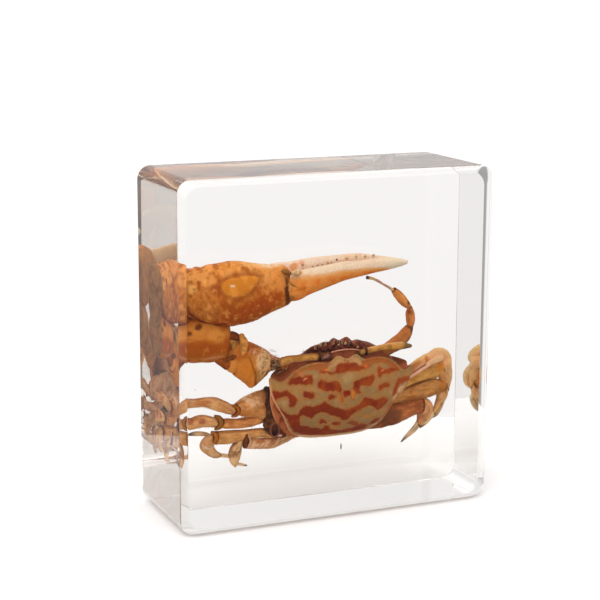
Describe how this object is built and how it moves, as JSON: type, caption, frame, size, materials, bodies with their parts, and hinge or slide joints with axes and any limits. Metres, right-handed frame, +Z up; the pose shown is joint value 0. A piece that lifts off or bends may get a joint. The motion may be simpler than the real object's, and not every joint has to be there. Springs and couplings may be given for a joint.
{
  "type": "resin block with a sealed crab",
  "caption": "Clear rounded resin block on its narrow bottom face, with a dried fiddler crab sealed inside, its back to the front; a display piece or paperweight.",
  "frame": {"origin": "centre of the block's bottom face, on the surface that it stands on", "axes": "+X to the right along the front face, +Y into the block's depth away from the front face, +Z up"},
  "size_m": [0.073, 0.028, 0.0755],
  "materials": {
    "clear_resin": "clear, polished",
    "crab_shell": "dried shell, orange and tan with dark red-brown marks"
  },
  "bodies": {
    "root": {"resin_front_half": "clear_resin", "resin_back_half": "clear_resin", "fiddler_crab": "crab_shell"}
  },
  "joints": []
}
